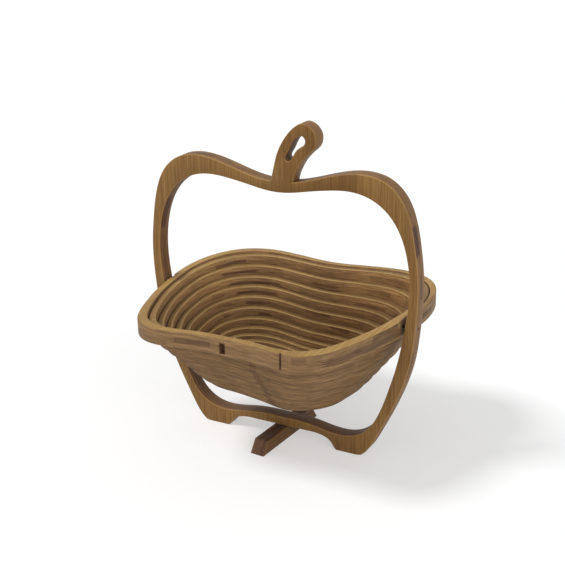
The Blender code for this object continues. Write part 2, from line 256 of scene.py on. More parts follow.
def knot_slopes(points, steps, closed):
    """Slopes at the points of a cubic spline with no break in its curvature."""
    count = len(points)
    matrix = np.zeros((count, count))
    right = np.zeros((count, 2))
    for i in range(count):
        before = i - 1 if i > 0 or closed else None
        after = (i + 1) % count if i + 1 < count or closed else None
        if before is not None:
            step = steps[before % len(steps)]
            matrix[i, before] += 1 / step
            matrix[i, i] += 2 / step
            right[i] += 3 * (points[i] - points[before]) / step**2
        if after is not None:
            step = steps[i]
            matrix[i, after] += 1 / step
            matrix[i, i] += 2 / step
            right[i] += 3 * (points[after] - points[i]) / step**2
    return np.linalg.solve(matrix, right)


def smooth_curve(points, samples, closed=False):
    """Points spaced evenly along a smooth curve through the given ones."""
    points = np.array(points, float)
    following = np.roll(points, -1, axis=0) if closed else points[1:]
    starts = points if closed else points[:-1]
    steps = np.linalg.norm(following - starts, axis=1)
    slopes = knot_slopes(points, steps, closed)
    slopes_after = np.roll(slopes, -1, axis=0) if closed else slopes[1:]
    dense = []
    for start, end, step, s0, s1 in zip(starts, following, steps, slopes, slopes_after):
        for t in np.linspace(0, 1, CURVE_STEPS, endpoint=False):
            rise = t * t * (3 - 2 * t)
            bend = step * (t * (1 - t) ** 2 * s0 - t * t * (1 - t) * s1)
            dense.append(start + (end - start) * rise + bend)
    dense.append(following[-1])
    dense = np.array(dense)
    along = np.concatenate([[0], np.cumsum(np.linalg.norm(np.diff(dense, axis=0), axis=1))])
    places = np.linspace(0, along[-1], samples, endpoint=not closed)
    return np.stack([np.interp(places, along, dense[:, axis]) for axis in (0, 1)], axis=1)


def scaled(shares, width, height, left=0.0, floor=0.0):
    return [(left + x * width, floor + z * height) for x, z in shares]


def mirrored(half):
    """The right half of a closed outline, from bottom to top, and its mirror image back down."""
    return half + [(-x, z) for x, z in reversed(half) if x > 0]


def opening_outline(samples):
    half = scaled(OPENING_SHARES, OPENING_HALF, OPENING_HEIGHT, floor=opening_floor)
    return smooth_curve(mirrored(half), samples, closed=True)


def half_width_at(outline, height):
    """The outline's half width at a height, on its right side."""
    side = outline[outline[:, 0] > outline[:, 0].max() * SIDE_SHARE]
    side = side[np.argsort(side[:, 1])]
    return float(np.interp(height, side[:, 1], side[:, 0]))


def frame_outside():
    """The outside of the frame, the leaf and the arch, counterclockwise from the front."""
    half = scaled(OUTSIDE_SHARES, outside_half, frame_height)
    right = smooth_curve(half, OUTSIDE_SAMPLES)
    crown = right[-1, 1]
    leaf = smooth_curve(scaled(LEAF_SHARES, LEAF_WIDTH, LEAF_HEIGHT, -LEAF_LEFT, crown), LEAF_SAMPLES)
    clear_of_stem = right[(right[:, 0] > leaf[0, 0] + FIT) | (right[:, 1] < crown / 2)]
    left = right[::-1] * (-1, 1)
    left = left[(left[:, 0] < leaf[-1, 0] - FIT) | (left[:, 1] < crown / 2)]
    toe = np.array([[FOOT_TOE_SHARE * outside_half, 0]])
    arch_points = [(ARCH_HALF, 0)] + scaled(ARCH_SHARES, ARCH_HALF, ARCH_HEIGHT)
    arch = smooth_curve(arch_points, ARCH_SAMPLES)
    return np.concatenate([
        arch[::-1], toe, clear_of_stem, leaf, left, toe * (-1, 1), arch * (-1, 1),
    ])


def bowl_outline():
    """The bowl's outline in plan, as angles from +X and distances from its middle."""
    opening = opening_outline(OPENING_SAMPLES * 2)
    along = np.roll(opening, -1, axis=0) - np.roll(opening, 1, axis=0)
    inward = np.stack([-along[:, 1], along[:, 0]], axis=1)
    inward /= np.linalg.norm(inward, axis=1, keepdims=True)
    outline = opening + inward * FRAME_CUT
    x = outline[:, 0]
    y = outline[:, 1] - PIVOT_HEIGHT
    angles = np.unwrap(np.arctan2(y, x))
    order = np.argsort(angles)
    return angles[order], np.hypot(x, y)[order]


OUTLINE_ANGLES, OUTLINE_RADII = bowl_outline()


def outline_radius(angle):
    return float(np.interp(angle, OUTLINE_ANGLES, OUTLINE_RADII, period=2 * math.pi))


def island_radius(angle):
    across = abs(math.cos(angle)) / BASE_HALF_WIDTH
    along = abs(math.sin(angle)) / BASE_HALF_DEPTH
    return (across**BASE_SQUARENESS + along**BASE_SQUARENESS) ** (-1 / BASE_SQUARENESS)


JUNCTION_ANGLE = math.asin(JUNCTION_BACK / outline_radius(0))


def cut_edge(turns_in, inwards=0.0):
    """A point on the spiral cut's outer edge, or inwards of it, after so many turns."""
    angle = JUNCTION_ANGLE + 2 * math.pi * turns_in
    share = (turns_in + FIRST_TURN_SHARE) / (TURNS + 1 + FIRST_TURN_SHARE)
    outer = outline_radius(angle)
    radius = outer + (island_radius(angle) - outer) * share - inwards
    return radius * math.cos(angle) - BASE_LEFT * share, radius * math.sin(angle)


SINK_CURVE = smooth_curve(SINK_SHARES, SINK_SAMPLES)
LEAN_CURVE = smooth_curve(LEAN_SHARES, SINK_SAMPLES)


def sunk(turns_in, x, y):
    """How far the strip has sunk at a point of it, after so many turns."""
    share = turns_in / TURNS
    slope = math.tan(LEAN) * np.interp(share, LEAN_CURVE[:, 0], LEAN_CURVE[:, 1])
    behind = (y + math.hypot(y, LEAN_EASING)) / 2
    across = x * math.cos(LEAN_TOWARDS) + behind * math.sin(LEAN_TOWARDS)
    return BOWL_DEPTH * np.interp(share, SINK_CURVE[:, 0], SINK_CURVE[:, 1]) + slope * across


def hinge_flat(side):
    """Distance from the middle to the flat that the rim has at its hinge on one side."""
    return half_width_at(opening_outline(OPENING_SAMPLES), PIVOT_HEIGHT) - HINGE_GAP[side]


HINGE_FLAT = {side: hinge_flat(side) for side in (1, -1)}


def rim_edge(turns_in):
    """The rim's outline, with its flats at the two hinges."""
    angle = JUNCTION_ANGLE + 2 * math.pi * turns_in
    radius = outline_radius(angle)
    x = radius * math.cos(angle)
    y = radius * math.sin(angle)
    side = 1 if x > 0 else -1
    slope = max(0.0, (abs(y) - HINGE_FLAT_HALF[side]) / HINGE_SHOULDER)
    widest = HINGE_FLAT[side] + slope * HINGE_GAP[side]
    return math.copysign(min(abs(x), widest), x), y


def rim_places():
    """Even places around the rim and the corners of its flats, in turns from the junction."""
    places = [i / RIM_STATIONS for i in range(RIM_STATIONS + 1)]
    for side in (1, -1):
        x = side * HINGE_FLAT[side]
        for y in (HINGE_FLAT_HALF[side], HINGE_FLAT_HALF[side] + HINGE_SHOULDER):
            for corner in (math.atan2(y, x), math.atan2(-y, x)):
                places.append((corner - JUNCTION_ANGLE) / (2 * math.pi) % 1.0)
    return sorted(places)


# Materials

class Graph:
    """Short names for making the nodes of one material, or of the world."""

    def __init__(self, owner, shader="Principled BSDF"):
        owner.use_nodes = True
        self.tree = owner.node_tree
        self.shader = self.tree.nodes[shader]

    def node(self, kind, **settings):
        made = self.tree.nodes.new(kind)
        for key, value in settings.items():
            setattr(made, key, value)
        return made

    def feed(self, socket, value):
        if isinstance(value, bpy.types.NodeSocket):
            self.tree.links.new(value, socket)
        elif value is not None:
            socket.default_value = value

    def set(self, **values):
        """Feeds the shader's sockets, named with _ for each space."""
        for name, value in values.items():
            self.feed(self.shader.inputs[name.replace("_", " ")], value)

    def math(self, operation, a, b=None, c=None):
        made = self.node("ShaderNodeMath", operation=operation)
        for socket, value in zip(made.inputs, (a, b, c)):
            self.feed(socket, value)
        return made.outputs[0]

    def several(self, operation, values):
        result = values[0]
        for value in values[1:]:
            result = self.math(operation, result, value)
        return result

    def times(self, *values):
        return self.several("MULTIPLY", values)

    def most(self, *values):
        return self.several("MAXIMUM", values)

    def plus(self, a, b):
        return self.math("ADD", a, b)

    def mix(self, factor, a, b, blend="MIX"):
        made = self.node("ShaderNodeMix", data_type="RGBA", blend_type=blend)
        for name, value in (("Factor", factor), ("A", a), ("B", b)):
            same = [s for s in made.inputs if s.name == name and s.enabled]
            self.feed(same[0], value)
        return [s for s in made.outputs if s.enabled][0]

    def shaded(self, color, shade):
        """A colour times a shade."""
        return self.mix(1.0, color, self.vector(shade, shade, shade), blend="MULTIPLY")

    def vector(self, x, y, z=0.0):
        made = self.node("ShaderNodeCombineXYZ")
        for socket, value in zip(made.inputs, (x, y, z)):
            self.feed(socket, value)
        return made.outputs[0]

    def apart(self, vector):
        """A vector's three numbers."""
        made = self.node("ShaderNodeSeparateXYZ")
        self.feed(made.inputs[0], vector)
        return made.outputs[0], made.outputs[1], made.outputs[2]

    def noise(self, vector, scale, detail, roughness):
        made = self.node("ShaderNodeTexNoise")
        self.feed(made.inputs["Vector"], vector)
        made.inputs["Scale"].default_value = scale
        made.inputs["Detail"].default_value = detail
        made.inputs["Roughness"].default_value = roughness
        return made.outputs["Fac"]

    def marks(self, u, v, kind):
        """Noise that is finer one way than the other."""
        u_rate, v_rate, layer, detail, roughness = kind
        place = self.vector(self.times(u, u_rate), self.times(v, v_rate), layer)
        return self.noise(place, 1.0, detail, roughness)

    def random(self, *numbers):
        """An even random number from 0 to 1 for each set of three whole numbers."""
        made = self.node("ShaderNodeTexWhiteNoise", noise_dimensions="3D")
        self.feed(made.inputs["Vector"], self.vector(*numbers))
        return made.outputs["Value"]

    def inside(self, place, low, high, ragged):
        """1 within a box and 0 outside it, with ragged edges."""
        value = place
        middle = [(a + b) / 2 for a, b in zip(low, high)]
        half = [(b - a) / 2 for a, b in zip(low, high)]
        for operation, other in (("SUBTRACT", middle), ("ABSOLUTE", None), ("DIVIDE", half)):
            made = self.node("ShaderNodeVectorMath", operation=operation)
            self.feed(made.inputs[0], value)
            if other:
                made.inputs[1].default_value = other
            value = made.outputs[0]
        return self.spread(self.plus(self.most(*self.apart(value)), ragged), *BOX_EDGE)

    def attribute(self, name, output):
        return self.node("ShaderNodeAttribute", attribute_name=name).outputs[output]

    def spread(self, value, low, high, to_low=0.0, to_high=1.0, smooth=True):
        """A smooth step from one value to another."""
        made = self.node("ShaderNodeMapRange")
        made.interpolation_type = "SMOOTHSTEP" if smooth else "LINEAR"
        for socket, number in zip(made.inputs, (value, low, high, to_low, to_high)):
            self.feed(socket, number)
        return made.outputs[0]

    def evenly(self, value, low, high, to_low, to_high):
        """A straight ramp from one value to another, and level beyond its ends."""
        return self.spread(value, low, high, to_low, to_high, smooth=False)


LATH = 0.0225               # width of the laths that each ply of the board is glued up from
LATH_LENGTH = 0.034         # on the sawn sides, where short laths are mixed in
LATH_SHIFT = 1.0042         # puts a joint where the photo has one, and keeps the laths' numbers positive
PLY = BOARD / 3
MIDDLE_PLY = 1.0
JOINT = 0.00035             # dark glue lines between laths and between plies

# What the "side" attribute says of a face
# CREVICE marks a turn's top away from its inner edge, where painted shade lies
# RECESS marks the faces of holes and slits, painted dark as shade
# SEAM marks a turn's lower outer arrises, painted with dashes of shade between the turns
CREVICE, FACE, ARRIS_FACE, OUTER_SIDE, SEAM, INNER_SIDE, RECESS = -1.0, 0.0, 0.5, 1.0, 1.15, 2.0, 3.0
SAME_KIND = 0.01
# A turn's top gets painted shade, except for this strip beside its inner edge
LIT_WIDTH = 0.0018          # of a turn's top, beside its inner edge; the rest lies under the wall above

# Marks: how many to the metre across and along the grain, their layer, detail and roughness
BUNDLES = (520, 9, 0.0, 3.0, 0.6)
STREAKS = (1300, 26, 2.0, 3.0, 0.6)
FIBRES = (4200, 110, 4.0, 2.0, 0.6)
DASHES = (1500, 55, 6.0, 3.0, 0.65)
BANDS = (420, 16, 7.0, 2.0, 0.5)
CLOUD = (22, 14, 9.0, 2.0, 0.5)

# Which random number a draw takes, beside the number of the lath or the ply
LATH_DRAW = 3.0
PLY_DRAW = (5.0, 1.0)
ROW_DRAW = 8.0

# Steps in the marks: from where to where, and between which shares if they aren't 0 and 1
MAIN_TONE = (0.34, 0.66)
LIGHT_STREAK = (0.48, 0.75, 0.0, 0.75)
DARK_STREAK = (0.44, 0.24, 0.0, 0.60)
RED_CLOUD = (0.30, 0.60, 0.55, 1.0)
DARK_BLOCK = (0.90, 0.93)
DARK_BLOCK_INWARD = (0.0, 1.0, 0.45, 0.18)
# Dashes of painted shade along the turns' seams
SEAM_BAND = (0.42, 0.62, 0.22, 0.80)
GLUE_BAND = (0.44, 0.60)
RAGGED = (0.3, 0.7, -0.22, 0.22)
BOX_EDGE = (1.05, 0.95)
# How dark the painted shade in holes and slits is
RECESS_DARK = 0.7

# Steps across the board, in metres to the right of its middle or above the pivot
# How strong the painted shade on the turns' tops is: weak at the far left, strong from a little left of
# the middle on
SHADED_TOPS = (-0.090, -0.030, 0.15, 0.70)
LEFT_LOBE = (-0.088, -0.112)
RIGHT_LOBE = (0.088, 0.112)
DEEPER_FROM = (-0.004, 0.014)
DEEPER_TO = (0.088, 0.072)
DEEPER_ABOVE = (0.055, 0.085)
REDDER = (-0.035, 0.065)
# Where the inner walls get painted light: the far left, the far right and the back right
FAR_LEFT = (-0.062, -0.100)
FAR_RIGHT = (0.074, 0.100)
BACK_RIGHT = (0.0, 0.05)
BACK = (0.078, 0.090)

# Shades that multiply the tones
LATH_SHADES = (0.0, 1.0, 0.90, 1.08)
LOBE_SHADES = (0.0, 1.0, 1.0, 1.14)
JOINT_SHADES = (0.0, 1.0, 1.0, 0.58)
BLOCK_SHADES = (0.0, 0.86, 1.07, 0.92)
DASH_SHADES = (0.32, 0.68, 0.52, 1.44)
BAND_SHADES = (0.30, 0.70, 0.84, 1.14)
PLY_SHADES = (0.0, 1.0, 1.04, 0.92)
GLUE_SHADES = (0.0, 1.0, 1.0, 0.60)
FIBRE_SHADES = (0.25, 0.75, 0.90, 1.09)
CLOUD_SHADES = (0.30, 0.70, 0.93, 1.06)

WOOD_ROUGHNESS = (0.2, 0.8, 0.66, 0.50)
WOOD_GLOSS = 0.25
BUMP_STRENGTH = 0.3
BUMP_DISTANCE = 0.0002
STREAK_BUMP = 0.7

STEEL_MARKS = (900.0, 3.0, 0.6)
STEEL_ROUGHNESS = (0.3, 0.7, 0.38, 0.55)


def tone(red, green, blue):
    """A colour given as screen values, as a shader wants it."""
    shares = [value / 255 for value in (red, green, blue)]
    return (*[(s + 0.055) ** 2.4 / 1.055**2.4 if s > 0.04 else s / 12.92 for s in shares], 1)


class Wood(Graph):
    """A board of three plies, with laths and fibres on its faces and streaked sawn sides."""

    def __init__(self, owner, tones):
        super().__init__(owner)
        self.tones = tones
        self.place = self.attribute("board", "Vector")
        self.x, self.y, self.height = self.apart(self.place)
        self.across, self.along, _ = self.apart(self.attribute("grain", "Vector"))
        self.side = self.attribute("side", "Fac")
        self.sawn = self.math("GREATER_THAN", self.side, (ARRIS_FACE + OUTER_SIDE) / 2)
        self.inward = self.math("GREATER_THAN", self.side, (SEAM + INNER_SIDE) / 2)
        self.streaks = self.marks(self.across, self.along, STREAKS)
        self.fibres = self.marks(self.across, self.along, FIBRES)
        self.dashes = self.marks(self.across, self.along, DASHES)
        self.bands = self.marks(self.across, self.along, BANDS)
        self.cloud = self.marks(self.x, self.y, CLOUD)

    def kind(self, kind):
        """1 on faces of a kind, and 0 on the others."""
        return self.math("COMPARE", self.side, kind, SAME_KIND)

    def face_color(self, edge, deeper):
        """The flat faces' colour, with painted highlights on their arrises and painted shade on the
        turns' tops.
        """
        face, face_dark, face_light = (self.tones[name] for name in ("face", "face_dark", "face_light"))
        bundles = self.marks(self.across, self.along, BUNDLES)
        color = self.mix(self.spread(bundles, *MAIN_TONE), face_dark, face)
        color = self.mix(self.spread(self.streaks, *LIGHT_STREAK), color, face_light)
        color = self.mix(self.spread(self.streaks, *DARK_STREAK), color, face_dark)
        # Painted highlight on the rounded edges, which also stands for wear: the arrises lighter by edge
        color = self.mix(self.times(self.kind(ARRIS_FACE), edge), color, face_light)
        # Painted shade: a turn's top away from its inner edge takes the inner walls' tone, as the shade
        # of the wall above
        under_wall = self.times(self.kind(CREVICE), self.spread(self.x, *SHADED_TOPS))
        color = self.mix(under_wall, color, self.tones["inner"])
        if deeper:
            region = self.times(self.spread(self.x, *DEEPER_FROM), self.spread(self.x, *DEEPER_TO))
            region = self.times(region, self.spread(self.y, *DEEPER_ABOVE))
            color = self.mix(region, color, self.mix(1.0, color, deeper, blend="MULTIPLY"))
        return color

    def face_shade(self, far_lift):
        """The laths side by side, each of its own shade, with a thin joint between them."""
        lath_place = self.math("DIVIDE", self.plus(self.x, LATH_SHIFT), LATH)
        drawn = self.random(self.math("FLOOR", lath_place), LATH_DRAW, self.math("SIGN", self.height))
        shade = self.evenly(drawn, *LATH_SHADES)
        if far_lift:
            lobes = self.most(self.spread(self.x, *LEFT_LOBE), self.spread(self.x, *RIGHT_LOBE))
            shade = self.times(shade, self.evenly(lobes, *LOBE_SHADES))
        joint = self.spread(self.math("FRACT", lath_place), 0.0, JOINT / LATH, 1.0, 0.0)
        return self.times(shade, self.evenly(joint, *JOINT_SHADES))

    def side_color_and_shade(self, dark_laths, far_lift):
        """The sawn sides: the plies' laths end on in blocks, with dashed streaks and glue lines, painted
        shade in holes and along the turns' seams, and painted light on the inner walls.
        """
        level = self.math("DIVIDE", self.plus(self.height, BOARD / 2), PLY)
        ply = self.math("FLOOR", level)
        middle_ply = self.math("COMPARE", ply, MIDDLE_PLY, 0.5)
        turned = self.times(self.math("SUBTRACT", self.y, self.x), middle_ply)
        over = self.math("DIVIDE", self.plus(self.x, turned), LATH)
        down = self.math("DIVIDE", self.math("SUBTRACT", self.y, turned), LATH_LENGTH)
        block_x = self.math("FLOOR", self.plus(over, self.random(ply, *PLY_DRAW)))
        block_y = self.math("FLOOR", self.plus(down, self.random(ply, block_x, ROW_DRAW)))
        block = self.random(block_x, ply, block_y)

        redness = self.times(self.spread(self.x, *REDDER), self.spread(self.cloud, *RED_CLOUD))
        inner = self.mix(redness, self.tones["inner"], self.tones["inner_red"])
        color = self.mix(self.inward, self.tones["outer"], inner)
        # Painted light: the inner walls lighter towards the far left, the far right and the back right,
        # by far_lift
        back_right = self.times(self.spread(self.x, *BACK_RIGHT), self.spread(self.y, *BACK))
        far = self.most(self.spread(self.x, *FAR_LEFT), self.spread(self.x, *FAR_RIGHT), back_right)
        color = self.shaded(color, self.plus(1.0, self.times(far, far_lift, self.inward)))
        dark = self.times(self.spread(block, *DARK_BLOCK), self.spread(self.inward, *DARK_BLOCK_INWARD))
        ragged = self.evenly(self.dashes, *RAGGED)
        for low, high, level_share in dark_laths:
            dark = self.most(dark, self.times(self.inside(self.place, low, high, ragged), level_share))
        # Painted shade: the faces of holes, slits and pockets darker
        dark = self.most(dark, self.times(self.kind(RECESS), RECESS_DARK))
        # Painted shade: dark dashes on each turn's lower outer arris, the line of shade between one turn
        # and the next
        dark = self.most(dark, self.times(self.kind(SEAM), self.spread(self.bands, *SEAM_BAND)))
        # One dark tone for the dark laths and blocks, and for the painted shade of seams and holes
        color = self.mix(dark, color, self.tones["burnt"])

        from_joint = self.math("FRACT", self.plus(level, 0.5))
        from_joint = self.math("ABSOLUTE", self.math("SUBTRACT", from_joint, 0.5))
        glue = self.times(self.spread(from_joint, JOINT / PLY, 0.0), self.spread(self.bands, *GLUE_BAND))
        shade = self.times(
            self.evenly(block, *BLOCK_SHADES),
            self.evenly(self.dashes, *DASH_SHADES),
            self.evenly(self.bands, *BAND_SHADES),
            self.evenly(middle_ply, *PLY_SHADES),
            self.evenly(glue, *GLUE_SHADES),
        )
        return color, shade


def wood(name, dark_laths=(), deeper=None, edge=0.55, far_lift=0.0, **tones):
    """A board's material.

    dark_laths are boxes in the board, each with how dark it is; deeper tints a part of its faces;
    edge says how light the arrises are, a painted highlight that also stands for wear, and far_lift
    how much painted light lightens the inner walls on the left and the right, with which the faces
    of the board's far ends get a little lighter too.
    """
    material = bpy.data.materials.new(name)
    g = Wood(material, tones)
    face_color = g.face_color(edge, deeper)
    face_shade = g.face_shade(far_lift)
    side_color, side_shade = g.side_color_and_shade(dark_laths, far_lift)
    on_face = g.math("SUBTRACT", 1.0, g.sawn)
    shade = g.plus(g.times(g.sawn, side_shade), g.times(on_face, face_shade))
    shade = g.times(shade, g.evenly(g.fibres, *FIBRE_SHADES), g.evenly(g.cloud, *CLOUD_SHADES))
    bump = g.node("ShaderNodeBump")
    bump.inputs["Strength"].default_value = BUMP_STRENGTH
    bump.inputs["Distance"].default_value = BUMP_DISTANCE
    g.feed(bump.inputs["Height"], g.plus(g.fibres, g.times(g.streaks, STREAK_BUMP)))
    g.set(
        Base_Color=g.shaded(g.mix(g.sawn, face_color, side_color), shade),
        Roughness=g.evenly(g.streaks, *WOOD_ROUGHNESS),
        Specular_IOR_Level=WOOD_GLOSS,
        Normal=bump.outputs[0],
    )
    return material


def steel():
    """Dark drawn steel with fine marks."""
    material = bpy.data.materials.new("steel")
    g = Graph(material)
    marks = g.noise(g.node("ShaderNodeTexCoord").outputs["Object"], *STEEL_MARKS)
    g.set(
        Base_Color=g.mix(marks, tone(46, 38, 34), tone(70, 60, 54)),
        Metallic=1.0,
        Roughness=g.spread(marks, *STEEL_ROUGHNESS),
    )
    return material


# Meshes

class Builder:
    """Collects faces with their grain directions, then makes one mesh object."""

    def __init__(self):
        self.points = []
        self.boards = []
        self.faces = []
        self.grains = []
        self.sides = []

    def point(self, place, board):
        self.points.append(tuple(float(c) for c in place))
        self.boards.append(tuple(float(c) for c in board))
        return len(self.points) - 1

    def face(self, corners, grains, side):
        self.faces.append(tuple(corners))
        self.grains.append(grains)
        self.sides.append(side)

    def make(self, name, material):
        mesh = bpy.data.meshes.new(name)
        mesh.from_pydata(self.points, [], self.faces)
        board = mesh.attributes.new("board", "FLOAT_VECTOR", "CORNER")
        places = [self.boards[v] for corners in self.faces for v in corners]
        board.data.foreach_set("vector", np.array(places, np.float32).ravel())
        grain = mesh.attributes.new("grain", "FLOAT_VECTOR", "CORNER")
        flat = [(u, v, 0.0) for corners in self.grains for u, v in corners]
        grain.data.foreach_set("vector", np.array(flat, np.float32).ravel())
        side = mesh.attributes.new("side", "FLOAT", "FACE")
        side.data.foreach_set("value", np.array(self.sides, np.float32))
        mesh.materials.append(material)
        mesh.shade_smooth()
        mesh.set_sharp_from_angle(angle=SHARP_ANGLE)
        obj = bpy.data.objects.new(name, mesh)
        bpy.context.scene.collection.objects.link(obj)
        return obj


def run_lengths(loop, closed=True):
    """Distance along a polyline at each of its points, and its whole length if it is closed."""
    loop = np.asarray(loop)
    following = np.roll(loop, -1, axis=0) if closed else loop[1:]
    start = loop if closed else loop[:-1]
    return np.concatenate([[0], np.cumsum(np.linalg.norm(following - start, axis=1))])


def moved_inwards(loop, distance):
    """A counterclockwise loop, moved inwards; a clockwise one moves outwards."""
    loop = np.asarray(loop)
    before = loop - np.roll(loop, 1, axis=0)
    after = np.roll(loop, -1, axis=0) - loop
    before /= np.linalg.norm(before, axis=1, keepdims=True)
    after /= np.linalg.norm(after, axis=1, keepdims=True)
    mean = before + after
    mean /= np.maximum(np.linalg.norm(mean, axis=1, keepdims=True), TINY)
    normal = np.stack([-mean[:, 1], mean[:, 0]], axis=1)
    turn = np.clip((before * mean).sum(axis=1, keepdims=True), LEAST_TURN, 1)
    return loop + normal * distance / turn


def slab(name, loops, thickness, place, board_of, grain_of, material):
    """A flat board with the given outlines and rounded long edges.

    The first loop runs counterclockwise and any others, for holes, clockwise. place turns
    (u, v, w) into a point; board_of gives its place in the board, and grain_of that on the face.
    """
    b = Builder()
    half = thickness / 2
    levels = [
        (-half, ARRIS),
        (-half + ARRIS_MIDDLE, ARRIS_MIDDLE),
        (-half + ARRIS, 0.0),
        (half - ARRIS, 0.0),
        (half - ARRIS_MIDDLE, ARRIS_MIDDLE),
        (half, ARRIS),
    ]
    rims = [[], []]
    for hole, loop in enumerate(loops):
        side = INNER_SIDE if hole else OUTER_SIDE
        loop = np.asarray(loop)
        runs = run_lengths(loop)
        count = len(loop)
        rings = []
        for level, inset in levels:
            moved = moved_inwards(loop, inset)
            rings.append([b.point(place(u, v, level), board_of(u, v, level)) for u, v in moved])
        for k in range(len(levels) - 1):
            low, high = levels[k][0], levels[k + 1][0]
            rounded = levels[k][1] > 0 or levels[k + 1][1] > 0
            for i in range(count):
                j = (i + 1) % count
                corners = (rings[k][i], rings[k][j], rings[k + 1][j], rings[k + 1][i])
                grains = ((low, runs[i]), (low, runs[i + 1]), (high, runs[i + 1]), (high, runs[i]))
                b.face(corners, grains, ARRIS_FACE if rounded else side)
        rims[0].append(rings[0])
        rims[1].append(rings[-1])
    for which, level, flip in ((0, -half, True), (1, half, False)):
        index = [i for ring in rims[which] for i in ring]
        flat = np.concatenate([moved_inwards(loop, ARRIS) for loop in loops])
        for tri in filled(rims[which], flat):
            tri = tuple(reversed(tri)) if flip else tri
            corners = [index[t] for t in tri]
            b.face(corners, [grain_of(*flat[t]) for t in tri], FACE)
    return b.make(name, material)


def filled(rings, flat):
    """Triangles, counterclockwise, between an outline and its holes."""
    bm = bmesh.new()
    verts = [bm.verts.new((u, v, 0)) for u, v in flat]
    start = 0
    edges = []
    for ring in rings:
        count = len(ring)
        for i in range(count):
            edges.append(bm.edges.new((verts[start + i], verts[start + (i + 1) % count])))
        start += count
    bmesh.ops.triangle_fill(bm, use_beauty=True, use_dissolve=False, edges=edges)
    order = {v: i for i, v in enumerate(verts)}
    triangles = []
    for face in bm.faces:
        tri = [order[v] for v in face.verts]
        a, b, c = (flat[t] for t in tri)
        turn = (b[0] - a[0]) * (c[1] - a[1]) - (b[1] - a[1]) * (c[0] - a[0])
        triangles.append(tri if turn > 0 else tri[::-1])
    bm.free()
    return triangles


def strip_sections(outer, inner, runs, depths, under_wall=FACE):
    """A strip with rounded edges along two curves in plan, sunk by so much at each station.

    under_wall is the kind of face of its top, away from its inner edge; CREVICE there gets painted
    shade.
    """
    b = Builder()
    outer = np.asarray(outer)
    inner = np.asarray(inner)
    ring = []
    c = ARRIS
    d = ARRIS_MIDDLE
    half = BOARD / 2
    # From the outer curve or, with False, from the inner one: how far inwards, and at which height
    profile = (
        (True, 0.0, -half + c),
        (True, 0.0, half - c),
        (True, d, half - d),
        (True, c, half),
        (False, -LIT_WIDTH, half),
        (False, -c, half),
        (False, -d, half - d),
        (False, 0.0, half - c),
        (False, 0.0, -half + c),
        (False, -d, -half + d),
        (False, -c, -half),
        (True, c, -half),
        (True, d, -half + d),
    )
    arris = (ARRIS_FACE, ARRIS_FACE)
    outside = (OUTER_SIDE, OUTER_SIDE)
    inside = (INNER_SIDE, INNER_SIDE, INNER_SIDE)
    # The turns' lower outer arrises are marked for painted shade
    seam = (SEAM, SEAM) if under_wall == CREVICE else outside
    kinds = (OUTER_SIDE, *outside, under_wall, FACE, *arris, *inside, FACE, *seam)
    count_around = len(profile)
    for o, i, depth in zip(outer, inner, depths):
        inward = (i - o) / np.linalg.norm(i - o)
        places = []
        for from_outer, inset, w in profile:
            p = (o if from_outer else i) + inward * inset
            places.append(b.point((*p, PIVOT_HEIGHT + w - depth), (*p, w)))
        ring.append(places)
    count = len(outer)
    for s in range(count - 1):
        t = s + 1
        for k in range(count_around):
            m = (k + 1) % count_around
            corners = (ring[s][m], ring[s][k], ring[t][k], ring[t][m])
            if kinds[k] > ARRIS_FACE:
                w0, w1 = profile[k][-1], profile[m][-1]
                grains = ((w1, runs[s]), (w0, runs[s]), (w0, runs[s + 1]), (w1, runs[s + 1]))
            else:
                grains = [b.boards[v][:2] for v in corners]
            b.face(corners, grains, kinds[k])
    for s, order in ((0, 1), (count - 1, -1)):
        corners = ring[s][::order]
        b.face(corners, [(b.boards[v][2], runs[s]) for v in corners], OUTER_SIDE)
    return b


def upright(u, v, w):
    """Drawn on the front of the frame: u right, v up, w towards the front."""
    return u, -w, v


def sideways(u, v, w):
    """Drawn on the right end: u back, v up, w right."""
    return w, u, v


def lying(u, v, w):
    """Drawn in plan: u right, v back, w up."""
    return u, v, w


def circle(radius, height=0.0):
    steps = [2 * math.pi * i / ROUND_SIDES for i in range(ROUND_SIDES)]
    return [(radius * math.cos(a), height + radius * math.sin(a)) for a in steps]


def make_frame(material):
    crown = OUTSIDE_SHARES[-1][1] * frame_height
    slot = scaled(LEAF_SLOT_SHARES, LEAF_WIDTH, LEAF_HEIGHT, -LEAF_LEFT, crown)
    slot = smooth_curve(slot, SLOT_SAMPLES, closed=True)
    area = sum(a[0] * b[1] - a[1] * b[0] for a, b in zip(slot, np.roll(slot, -1, axis=0)))
    loops = [frame_outside(), opening_outline(OPENING_SAMPLES)[::-1], slot if area < 0 else slot[::-1]]
    piece = slab(
        "frame_board", loops, BOARD, upright,
        lambda u, v, w: (u, v - PIVOT_HEIGHT, w),
        lambda u, v: (u, v - PIVOT_HEIGHT),
        material,
    )
    bore = circle(PIN_RADIUS + FIT, PIVOT_HEIGHT)
    inside = half_width_at(opening_outline(OPENING_SAMPLES), PIVOT_HEIGHT) - OVERRUN
    outside = half_width_at(frame_outside(), PIVOT_HEIGHT) + OVERRUN
    cut_out(piece, bore, inside, outside, sideways)
    cut_out(piece, bore, -outside, -inside, sideways)
    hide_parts("handle_frame")
    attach(piece, "handle_frame")


def pin_tip():
    """Distance from the middle to the pins' inner ends, which don't reach through the rim."""
    turn_to_hinge = JUNCTION_ANGLE / (2 * math.pi)
    at_left, at_right = 0.5, 1.0
    inner = [abs(cut_edge(turns_in - turn_to_hinge)[0]) for turns_in in (at_left, at_right)]
    return max(inner) + FIT + PIN_WALL


